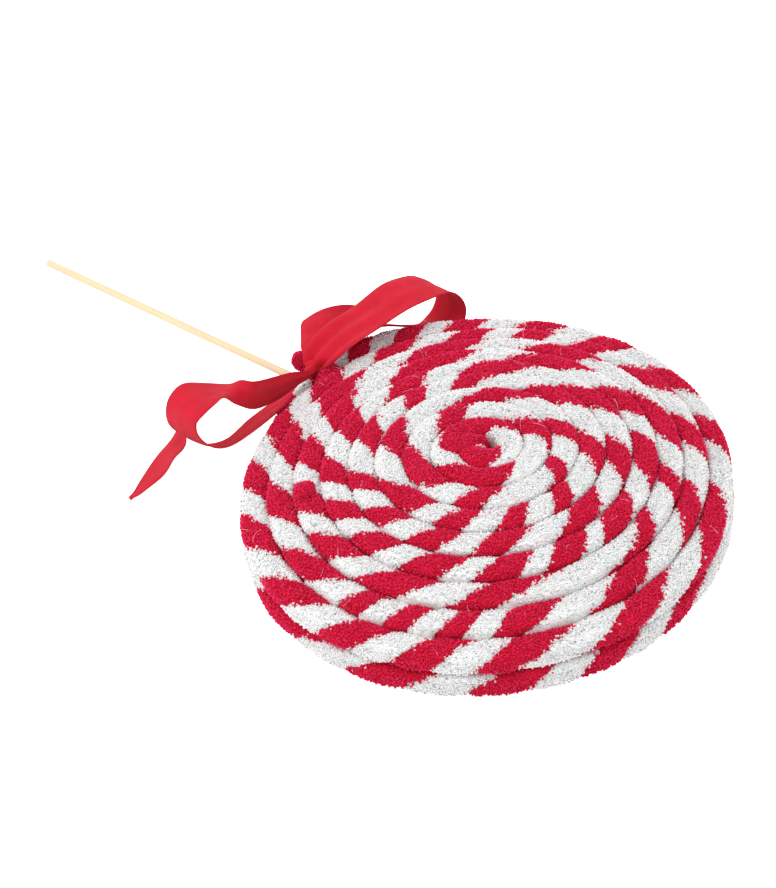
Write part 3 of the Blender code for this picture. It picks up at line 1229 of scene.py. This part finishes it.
@dataclass
class TerryLump:
    """A rounded lump of red terry, such as the knob in the middle.

    Attributes:
        name: the piece's name.
        node: the CAD node it stands for.
        radii: its half sizes.
        turn: its turn about the upright axis, in degrees.
        tilt: its tilt about its own second axis, in degrees.
        centre: its middle, or None for the CAD node's middle.
        spacing: distance between loops.
        inset: how far the cloth lies under the loops' tips.
        loop_size: size of its loops, 1 as modelled.
        swelling: how far its outline swells and thins.
    """

    name: str
    node: str
    radii: tuple
    turn: float = 0.0
    tilt: float = 0.0
    centre: tuple = None
    spacing: float = 0.00095
    inset: float = 0.0009
    loop_size: float = 0.9
    swelling: float = 0.05

    def basis(self) -> np.ndarray:
        """Turn of the lump as a 3 x 3 matrix."""
        turned = Matrix.Rotation(math.radians(self.turn), 3, "Z") @ Matrix.Rotation(
            math.radians(self.tilt), 3, "Y")
        return np.array([list(row) for row in turned])

    def middle(self) -> np.ndarray:
        """Middle of the lump."""
        return np.array(self.centre if self.centre else box_middle(*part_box(self.node)))

    def surface(self, ball: np.ndarray) -> np.ndarray:
        """Places on the cloth.

        Args:
            ball: matching places on a ball of radius 1.

        Returns:
            The places.
        """
        across = np.sin(2.7 * ball[:, 1:2] + 0.4)
        wave = 1.0 + self.swelling * np.sin(3.1 * ball[:, :1] + 1.0) * across
        return (ball * wave * (np.array(self.radii) - self.inset)) @ self.basis().T + self.middle()

    def spread(self) -> np.ndarray:
        """Spread the loops evenly over a ball of radius 1.

        Returns:
            Their places.
        """
        area = 4.0 * np.pi * (np.prod(np.array(self.radii)) ** (2.0 / 3.0))
        count = int(area / self.spacing ** 2)
        index = np.arange(count) + 0.5
        polar = np.arccos(1.0 - 2.0 * index / count)
        round_it = np.pi * (1.0 + 5.0 ** 0.5) * index
        return np.stack((np.cos(round_it) * np.sin(polar), np.sin(round_it) * np.sin(polar),
                         np.cos(polar)), axis=1)

    def build(self, pile: Pile, finish: bpy.types.Material) -> None:
        """Make the lump and its loops.

        Args:
            pile: the loops.
            finish: the red terry.
        """
        deselect()
        bpy.ops.mesh.primitive_ico_sphere_add(subdivisions=4, radius=1.0)
        made = added(self.name)
        move_points(made, self.surface(read_points(made)))
        # painted shade: the lump's cloth gets a darker tone, seen in the gaps between its loops
        set_tone(made, np.full(len(made.data.vertices), PAINTED_GAP_SHADE_TONE))
        dress(made, finish, Slot.RED_TERRY, self.node)
        ball = self.spread()
        normals = unit((ball / (np.array(self.radii) - self.inset)) @ self.basis().T)
        loops = pile.plant(f"{self.name}_loops", self.surface(ball), normals, self.loop_size)
        dress(loops, finish, Slot.RED_TERRY, self.node)


def red_lumps(path: CoilPath) -> tuple:
    """The lumps in the middle of the swirl and where its rope and strands end.

    Args:
        path: the rope's course.

    Returns:
        The lumps.
    """
    return (
        TerryLump("centre_knob_cloth", "centre_knob", (0.0040, 0.0058, 0.0182), turn=240.0),
        TerryLump("centre_tuft_cloth", "centre_knob", (0.0092, 0.0112, 0.0062), turn=131.0,
                  centre=path.near(0.0030, -0.0075, 0.0345)),
        TerryLump("strand_end_cloth", "strand_end", (0.0056, 0.0056, 0.0030), turn=-42.5,
                  tilt=14.0, centre=path.near(0.0655, -0.0535, 0.0318)),
        TerryLump("rope_end_cloth", "rope_end", (0.0045, 0.0055, 0.0055),
                  centre=path.near(-0.0228, -0.1405, 0.0145)),
        TerryLump("rope_by_knot_cloth", "strand_red", (0.0105, 0.0058, 0.0068), turn=20.0,
                  centre=path.near(-0.0160, -0.1150, 0.0180)),
    )


@dataclass
class StrayFibres:
    """Fine loose cotton hairs lying over the rope.

    Attributes:
        path: the rope's course.
        radius: radius of a hair.
        shortest: length of the shortest hair.
        longest: length of the longest.
        steps: straight runs in a hair.
        first_turn: turn number from which hairs lie on the rope.
        spread: how far down the rope's sides they lie, as a section angle.
        clearance: how far above the rope they start.
        curl: how far they curl sideways, as a share of their length.
        lift: least and greatest rise, as shares of their length.
        tip_spread: how far over a ribbon's tip its threads are spread.
        tip_way: least and greatest direction of those threads, in radians.
    """

    path: CoilPath
    radius: float = 0.00006
    shortest: float = 0.0025
    longest: float = 0.0075
    steps: int = 6
    first_turn: float = 2.0
    spread: float = 1.2
    clearance: float = 0.0004
    curl: float = 0.45
    lift: tuple = (0.02, 0.22)
    tip_spread: float = 0.0007
    tip_way: tuple = (-1.1, 0.9)

    def scatter(self, name: str, count: int, seed: int, finish: bpy.types.Material,
                slot: Slot, node: str) -> None:
        """Scatter one colour's hairs over the rope.

        Args:
            name: the piece's name.
            count: how many hairs.
            seed: start of the random order.
            finish: the cotton.
            slot: the record's slot.
            node: the CAD node that they belong to.
        """
        random = np.random.default_rng(seed)
        turn = random.uniform(self.first_turn, self.path.dive_from, count)
        angle = random.uniform(-self.spread, self.spread, count)
        root, normal = self.path.surface(turn, angle, np.ones(count))
        tangent = unit(np.cross(normal, random.normal(0.0, 1.0, (count, 3))))
        made = self.spin(name, random, root + self.clearance * normal, normal, tangent)
        dress(made, finish, slot, node)

    def fray(self, name: str, count: int, seed: int, tip: tuple, finish: bpy.types.Material,
             slot: Slot, node: str) -> None:
        """Fray a ribbon's tip.

        Args:
            name: the piece's name.
            count: how many threads.
            seed: start of the random order.
            tip: the ribbon's tip.
            finish: the thread.
            slot: the record's slot.
            node: the CAD node that they belong to.
        """
        random = np.random.default_rng(seed)
        shift = random.normal(0.0, self.tip_spread, (count, 3)) * (1.0, 1.0, 0.0)
        root = np.array(tip) + shift
        normal = np.tile((0.0, 0.0, 1.0), (count, 1))
        way = random.uniform(*self.tip_way, count)
        tangent = np.stack((np.cos(way), np.sin(way), np.zeros(count)), axis=1)
        dress(self.spin(name, random, root, normal, tangent), finish, slot, node)

    def spin(self, name: str, random: np.random.Generator, root: np.ndarray,
             normal: np.ndarray, tangent: np.ndarray) -> bpy.types.Object:
        """Make a joined mesh of fine curved hairs.

        Args:
            name: the piece's name.
            random: the random order.
            root: where each hair starts.
            normal: straight up from what each hair lies on.
            tangent: where each hair heads.

        Returns:
            The joined mesh.
        """
        count = len(root)
        side = np.cross(normal, tangent)
        length = random.uniform(self.shortest, self.longest, count)[:, None]
        curl = random.normal(0.0, self.curl, (count, 1))
        lift = random.uniform(*self.lift, (count, 1))
        share = np.linspace(0.0, 1.0, self.steps + 1)[None, :, None]
        line = (root[:, None] + (tangent * length)[:, None] * share
                + (side * length * curl)[:, None] * share ** 2
                + (normal * length * lift)[:, None] * np.sin(np.pi * share * 0.8))
        around = np.stack((side, normal, -side - normal), axis=1) * self.radius
        corners = line[:, :, None] + around[:, None]
        many = (self.steps + 1) * 3
        faces = []
        for row in range(self.steps):
            for corner in range(3):
                after = (corner + 1) % 3
                faces.append((row * 3 + corner, row * 3 + after, row * 3 + 3 + after,
                              row * 3 + 3 + corner))
        faces.append((2, 1, 0))
        faces.append((many - 3, many - 2, many - 1))
        every = [tuple(hair * many + number for number in face)
                 for hair in range(count) for face in faces]
        made = mesh_object(name, corners.reshape(-1, 3), every)
        outward(made)
        set_tone(made, np.full(count * many, HAIR_TONE))
        return made


# ------------------------------------------------------------------ dowel
@dataclass
class Dowel:
    """The thin pale stick.

    Attributes:
        radius: its radius.
        edge: rounding of its cut ends.
        rings: how many rings its side is cut into.
        plain_end: length without rings at each end.
        fill: its mean size as a share of the radius.
        oval: how far out of round it is, as a share of the radius.
        waves: how far it waves along its length, as a share of the radius.
    """

    radius: float = 0.0020
    edge: float = 0.00035
    rings: int = 90
    plain_end: float = 0.004
    fill: float = 0.985
    oval: float = 0.012
    waves: float = 0.010

    def girth(self, along: float, round_it: float) -> float:
        """Size at a place on its side.

        Args:
            along: place along the stick in metres.
            round_it: direction round it in radians.

        Returns:
            The size as a share of the radius.
        """
        uneven = self.oval * math.sin(2.0 * round_it + 9.0 * along)
        uneven += self.waves * math.sin(75.0 * along + 3.0 * round_it)
        return self.fill + uneven

    def build(self, finish: bpy.types.Material) -> None:
        """Make the stick.

        Args:
            finish: its wood.
        """
        low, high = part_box("dowel")
        length = high[1] - low[1]
        middle = box_middle(low, high)
        deselect()
        bpy.ops.mesh.primitive_cylinder_add(vertices=40, radius=self.radius, depth=length,
                                            end_fill_type="NGON", location=middle,
                                            rotation=(math.pi / 2.0, 0.0, 0.0))
        made = added("dowel_stick")
        settle(made)
        bpy.ops.object.mode_set(mode="EDIT")
        bpy.ops.mesh.select_mode(type="EDGE")
        work = bmesh.from_edit_mesh(made.data)
        for edge in work.edges:
            edge.select_set(any(len(face.verts) > 4 for face in edge.link_faces))
        bmesh.update_edit_mesh(made.data)
        bpy.ops.mesh.bevel(offset=self.edge, segments=3, affect="EDGES")
        work = bmesh.from_edit_mesh(made.data)
        for step in np.linspace(low[1] + self.plain_end, high[1] - self.plain_end, self.rings):
            geometry = list(work.verts) + list(work.edges) + list(work.faces)
            bmesh.ops.bisect_plane(work, geom=geometry, plane_co=(0.0, float(step), 0.0),
                                   plane_no=(0.0, 1.0, 0.0))
        for corner in work.verts:
            round_it = math.atan2(corner.co.z - middle[2], corner.co.x - middle[0])
            girth = self.girth(corner.co.y, round_it)
            corner.co.x = middle[0] + (corner.co.x - middle[0]) * girth
            corner.co.z = middle[2] + (corner.co.z - middle[2]) * girth
        bmesh.update_edit_mesh(made.data)
        bpy.ops.object.mode_set(mode="OBJECT")
        bpy.ops.object.shade_smooth_by_angle(angle=math.radians(40.0))
        dress(made, finish, Slot.WOOD, "dowel")


# ------------------------------------------------------------------ bow
@dataclass
class RibbonStrip:
    """One run of ribbon between two edges.

    Attributes:
        name: the piece's name.
        node: the CAD node it stands for.
        held: how the cloth is held; not used.
        edges: matching places on its two edges, in millimetres from the swirl's centre.
        thickness: the ribbon's thickness.
        camber: how far its middle bulges out, from its first row to its last.
        folds: depth of the lengthwise gathers at its first and at its last row.
        fold_reach: share of its length in which the gathers die away.
        gathers: how many gathers lie across it.
        gather_slant: how far they slant along its length, in radians.
        steps: rows between two pairs of edge places.
        across: columns from edge to edge.
        rests_on: the pieces that it rests on; not used.
        width: the ribbon's flat width.
        floor_gap: height that the cloth keeps above the floor.
    """

    name: str
    node: str
    held: str
    edges: tuple
    thickness: float = 0.00045
    camber: tuple = (0.0, 0.0)
    folds: tuple = (0.0, 0.0)
    fold_reach: float = 0.16
    gathers: float = 2.3
    gather_slant: float = 6.0
    steps: int = 12
    across: int = 16
    rests_on: tuple = ()
    width: float = 0.025
    floor_gap: float = 0.0001

    def curve(self, keys: np.ndarray) -> np.ndarray:
        """Smooth curve through the keys.

        Args:
            keys: K x 3 places.

        Returns:
            The places along the curve.
        """
        count = (len(keys) - 1) * self.steps
        where = np.arange(count + 1) / self.steps
        low = np.minimum(where.astype(int), len(keys) - 2)
        part = (where - low)[:, None]
        wide = np.vstack((2.0 * keys[0] - keys[1], keys, 2.0 * keys[-1] - keys[-2]))
        p0, p1, p2, p3 = (wide[low + shift] for shift in range(4))
        return 0.5 * (2.0 * p1 + (p2 - p0) * part
                      + (2.0 * p0 - 5.0 * p1 + 4.0 * p2 - p3) * part ** 2
                      + (3.0 * p1 - p0 - 3.0 * p2 + p3) * part ** 3)

    def ripple(self, part: np.ndarray, share: np.ndarray) -> np.ndarray:
        """How far the cloth stands off a straight line between its edges.

        Args:
            part: each row's place along the ribbon, from 0 to 1.
            share: each column's place across it, from 0 to 1.

        Returns:
            The distances, a row for each row of cloth.
        """
        bulge = self.camber[0] + (self.camber[1] - self.camber[0]) * part
        bend = bulge[:, None] * (1.0 - (2.0 * share[None] - 1.0) ** 2)
        first = np.exp(-part / self.fold_reach) * self.folds[0]
        last = np.exp(-(1.0 - part) / self.fold_reach) * self.folds[1]
        gather = np.sin(share[None] * 2.0 * np.pi * self.gathers
                        + self.gather_slant * part[:, None])
        bend = bend + (first + last)[:, None] * gather
        slow = np.sin(part[:, None] * 31.0 + share[None] * 4.0) * 0.00016
        slow = slow + np.sin(part[:, None] * 13.0 - share[None] * 7.0 + 1.0) * 0.00022
        return bend + slow

    def build(self, finish: bpy.types.Material, origin: tuple) -> None:
        """Make the strip.

        Args:
            finish: its cloth.
            origin: the swirl's centre, which the edge places count from.
        """
        shift = np.array((origin[0], origin[1], 0.0))
        near = self.curve(np.array([pair[0] for pair in self.edges], float)) * MM + shift
        far = self.curve(np.array([pair[1] for pair in self.edges], float)) * MM + shift
        rows = len(near)
        share = np.linspace(0.0, 1.0, self.across + 1)
        cloth = near[:, None] + (far - near)[:, None] * share[None, :, None]
        middle = 0.5 * (near + far)
        face = unit(np.cross(unit(np.gradient(middle, axis=0)), far - near))
        run = np.concatenate(([0.0], np.cumsum(np.linalg.norm(np.diff(middle, axis=0), axis=1))))
        cloth = cloth + face[:, None] * self.ripple(run / run[-1], share)[:, :, None]
        cloth[:, :, 2] = np.maximum(cloth[:, :, 2], 0.5 * self.thickness + self.floor_gap)
        deselect()
        bpy.ops.mesh.primitive_grid_add(x_subdivisions=self.across, y_subdivisions=rows - 1,
                                        size=1.0, calc_uvs=True)
        made = added(self.name)
        flat = read_points(made)
        col = np.rint((flat[:, 0] + 0.5) * self.across).astype(int)
        row = np.rint((flat[:, 1] + 0.5) * (rows - 1)).astype(int)
        corners = read_corners(made)
        set_uv(made, np.stack((share[col[corners]] * self.width, run[row[corners]]), axis=1))
        move_points(made, cloth[row, col])
        make_active(made)
        wall = made.modifiers.new("cloth", "SOLIDIFY")
        wall.thickness = self.thickness
        wall.offset = 0.0
        bpy.ops.object.modifier_apply(modifier=wall.name)
        outward(made)
        dress(made, finish, Slot.RED_RIBBON, self.node)
        self.declare(float(run[-1]))

    def declare(self, length: float) -> None:
        """Args:
            length: its length in metres.
        """
        log.info("%s: %.0f x %.0f mm of ribbon", self.name, self.width * 1000.0,
                 length * 1000.0)


@dataclass
class Bow:
    """The ribbon bow: two loops, two tails and the knot.

    Attributes:
        origin: the swirl's centre.
        knot_fill: how much of the CAD knot's box the drawn-tight knot fills.
        knot_squareness: 2 is a round knot, more is boxier.
        knot_folds: depth of its broad and of its fine folds, as shares of its size.
    """

    origin: tuple
    knot_fill: float = 0.80
    knot_squareness: float = 2.6
    knot_folds: tuple = (0.05, 0.03)

    def strips(self) -> tuple:
        """The four runs of ribbon.

        Many edge places of the two loops were fitted, then rounded.

        Returns:
            The strips, each with its edges.
        """
        right = RibbonStrip(
            "right_loop_ribbon", "bow_loop_right", "folded", (
                ((-17, -116, 24), (-15.5, -129, 21)),
                ((-20, -110, 30), (-20, -132, 27)),
                ((-31, -107, 34), (-35, -131, 33)),
                ((-49, -105, 35), (-52, -130, 34)),
                ((-66, -103, 36), (-71, -127, 38)),
                ((-79, -101, 35), (-85, -125, 36)),
                ((-93, -100, 31), (-95, -125, 31)),
                ((-101, -100, 23), (-104, -125, 21)),
                ((-104, -100, 15), (-108, -124, 13)),
                ((-102, -100, 9), (-105, -124, 6)),
                ((-97, -101, 8), (-100, -125, 2)),
                ((-86, -105, 13), (-93, -125, 1.5)),
                ((-76, -110, 16), (-85, -129, 4)),
                ((-59, -118, 23), (-72, -133, 10)),
                ((-44, -121, 22), (-58, -136, 9)),
                ((-35, -124, 19), (-45, -136, 8)),
                ((-29, -126, 16), (-35, -133, 10)),
            ), folds=(0.0022, 0.0008))
        left = RibbonStrip(
            "left_loop_ribbon", "bow_loop_left", "folded", (
                ((-15, -123, 21), (-13, -119, 25)),
                ((-7, -123, 19), (-4, -117, 29)),
                ((2, -124, 18), (4, -118, 33)),
                ((12, -125, 18), (16, -118, 38)),
                ((26, -125, 22), (30, -117, 45)),
                ((37, -124, 32), (30, -126, 42)),
                ((46, -122, 43), (29, -137, 34)),
                ((53, -121, 44), (39, -141, 39)),
                ((61, -120, 44), (52, -143, 46)),
                ((66, -120, 43), (60, -144, 44)),
                ((67, -121, 40), (63, -146, 36)),
                ((66, -122, 34), (63, -146, 27)),
                ((61, -124, 25), (56, -147, 16)),
                ((54, -126, 16), (45, -145, 4)),
                ((46, -124, 13), (33, -141, 1)),
                ((32, -122, 14), (18, -140, 4)),
                ((17, -121, 15), (5, -137, 7)),
                ((2, -122, 15), (-6, -133, 9)),
                ((-6, -123, 15), (-11, -130, 11)),
                ((-15, -123, 17), (-16, -127, 15)),
            ), folds=(0.0010, 0.0008))
        front = RibbonStrip(
            "front_tail_ribbon", "ribbon_tail_front", "laid", (
                ((-15, -126, 13), (-17, -129, 11)),
                ((-9, -132, 6), (-12, -137, 3)),
                ((-3, -139, 5.5), (-10, -147, 1.5)),
                ((8, -147, 10), (-5, -159, 1)),
                ((17, -156, 14), (3, -169, 1)),
                ((30, -160, 16), (16, -174, 1)),
                ((43, -158, 12), (32, -172, 1)),
                ((53, -149, 7), (47, -165, 1)),
                ((67, -142, 10), (60, -161, 1)),
                ((76, -140, 8), (71, -157, 1)),
                ((85, -142, 5), (82, -153, 1)),
                ((91, -144, 3), (89, -150, 1)),
                ((94, -147, 1.5), (93, -149, 1)),
            ), folds=(0.0006, 0.0))
        back = RibbonStrip(
            "back_tail_ribbon", "ribbon_tail_back", "laid", (
                ((-17, -126, 15), (-16, -128, 16)),
                ((-27, -133, 12), (-20, -133, 14)),
                ((-38, -141, 11), (-29, -140, 13)),
                ((-43, -142, 12), (-30, -147, 14)),
                ((-53, -143, 12), (-36, -153, 15)),
                ((-64, -147, 12), (-45, -161, 16)),
                ((-77, -152, 12), (-50, -162, 16)),
            ), camber=(0.001, 0.004))
        return right, left, front, back

    def knot(self, finish: bpy.types.Material) -> None:
        """Make the wrapped knot.

        Args:
            finish: its cloth.
        """
        low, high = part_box("bow_knot")
        middle = np.array(box_middle(low, high))
        size = np.array([(b - a) / 2.0 for a, b in zip(low, high)])
        deselect()
        bpy.ops.mesh.primitive_uv_sphere_add(segments=64, ring_count=40, radius=1.0)
        made = added("bow_knot_ribbon")
        ball = read_points(made)
        round_it = np.arctan2(ball[:, 2], ball[:, 1])
        broad, fine = self.knot_folds
        fold = broad * np.sin(ball[:, 0] * 9.0 + 1.4 * np.sin(round_it * 2.0))
        fold += fine * np.sin(ball[:, 0] * 17.0 + round_it * 3.0)
        bulk = (np.abs(ball) ** self.knot_squareness).sum(axis=1)
        reach = bulk ** (-1.0 / self.knot_squareness)
        points = ball * reach[:, None] * (self.knot_fill + fold)[:, None] * size + middle
        corners = read_corners(made)
        set_uv(made, np.stack((points[corners, 0], round_it[corners] * size[2]), axis=1))
        move_points(made, points)
        dress(made, finish, Slot.RED_RIBBON, "bow_knot")

    def build(self, finish: bpy.types.Material) -> None:
        """Make every run and the knot.

        Args:
            finish: the ribbon's cloth.
        """
        for strip in self.strips():
            strip.build(finish, self.origin)
        self.knot(finish)


# ------------------------------------------------------------------ studio
@dataclass
class Studio:
    """Pale floor, soft light and the camera.

    Attributes:
        place: the camera's place.
        right: the camera's right direction.
        up: the camera's up direction.
        lens: focal length in millimetres.
        sensor: width of the camera's sensor in millimetres.
        key_power: power of the softbox in watts.
        softbox_size: its width.
        softbox_place, softbox_aim: where it hangs and where it points.
        world_strength: brightness of the light from all round.
        floor_size: width of the floor.
        floor_drop: how far the floor lies under the part.
    """

    place: tuple = (0.61346, 0.67265, 0.70179)
    right: tuple = (-0.65741, 0.74761, -0.09432)
    up: tuple = (-0.51515, -0.35454, 0.78033)
    lens: float = 94.32
    sensor: float = 36.0
    key_power: float = 5.8
    softbox_size: float = 0.9
    softbox_place: tuple = (0.85, -0.10, 1.15)
    softbox_aim: tuple = (0.0, 0.1, 0.0)
    world_strength: float = 1.20
    floor_size: float = 12.0
    floor_drop: float = 0.0002

    def camera(self) -> None:
        """Set up the camera."""
        data = bpy.data.cameras.new("studio_camera")
        data.lens = self.lens
        data.sensor_width = self.sensor
        data.sensor_fit = "AUTO"
        data.clip_start = 0.01
        data.dof.use_dof = False
        made = bpy.data.objects.new("studio_camera", data)
        bpy.context.scene.collection.objects.link(made)
        right = Vector(self.right).normalized()
        up = Vector(self.up)
        up = (up - right * up.dot(right)).normalized()
        turned = Matrix((right, up, right.cross(up))).transposed()
        made.matrix_world = Matrix.Translation(self.place) @ turned.to_4x4()
        bpy.context.scene.camera = made

    def light(self) -> None:
        """Set up the soft light."""
        world = bpy.data.worlds.new("studio_world")
        bpy.context.scene.world = world
        world.use_nodes = True
        back = world.node_tree.nodes["Background"]
        back.inputs["Color"].default_value = (1.0, 1.0, 1.0, 1.0)
        back.inputs["Strength"].default_value = self.world_strength
        data = bpy.data.lights.new("softbox", "AREA")
        data.shape = "SQUARE"
        data.size = self.softbox_size
        data.energy = self.key_power
        made = bpy.data.objects.new("softbox", data)
        bpy.context.scene.collection.objects.link(made)
        place = Vector(self.softbox_place)
        turned = (Vector(self.softbox_aim) - place).to_track_quat("-Z", "Y")
        made.matrix_world = Matrix.Translation(place) @ turned.to_matrix().to_4x4()

    def floor(self) -> None:
        """Lay the floor."""
        deselect()
        bpy.ops.mesh.primitive_plane_add(size=self.floor_size,
                                         location=(0.0, 0.0, -self.floor_drop))
        made = bpy.context.object
        made.name = "floor"
        settle(made)
        made.data.materials.append(FloorFinish().build())

    def build(self) -> None:
        """Set up the whole studio."""
        self.camera()
        self.light()
        self.floor()
        view = bpy.context.scene.view_settings
        view.view_transform = "Standard"
        view.look = "None"


def main() -> None:
    """Build every piece in order."""
    logging.basicConfig(level=logging.INFO, format="%(name)s %(message)s")
    groups = Groups()
    red = TerryFinish("red_terry_loops", deep=(0.52, 0.002, 0.022), light=(0.82, 0.015, 0.072),
                      sheen=0.05, sheen_tint=(1.0, 0.6, 0.66)).build(groups)
    white = TerryFinish("white_terry_loops", deep=(0.975, 0.925, 0.925),
                        light=(0.998, 0.955, 0.952), sheen=0.6, sheen_tint=(1.0, 0.95, 0.95),
                        softness=1.0, soft_depth=0.0030, relief=0.15).build(groups)
    ribbon = RibbonFinish("red_woven_ribbon", deep=(0.42, 0.003, 0.015),
                          light=(0.72, 0.022, 0.048), threads=2400.0).build(groups)
    wood = WoodFinish("pale_dowel_wood", deep=(0.66, 0.50, 0.30),
                      light=(0.82, 0.71, 0.48)).build(groups)
    Studio().build()
    path = CoilPath()
    TerrySwirl(path).build(red, white)
    pile = Pile(LoopModel(), LUMP_SEED)
    for lump in red_lumps(path):
        lump.build(pile, red)
    hairs = StrayFibres(path)
    hairs.scatter("red_stray_hairs", 110, 5, red, Slot.RED_TERRY, "strand_red")
    hairs.scatter("white_stray_hairs", 170, 6, white, Slot.WHITE_TERRY, "strand_white")
    threads = StrayFibres(path, radius=0.00011, shortest=0.0015, longest=0.0050)
    threads.fray("red_tail_threads", 16, 7, path.near(0.0925, -0.1475, 0.0008), red,
                 Slot.RED_TERRY, "ribbon_tail_front")
    Dowel().build(wood)
    Bow(path.centre).build(ribbon)


if __name__ == "__main__":
    main()
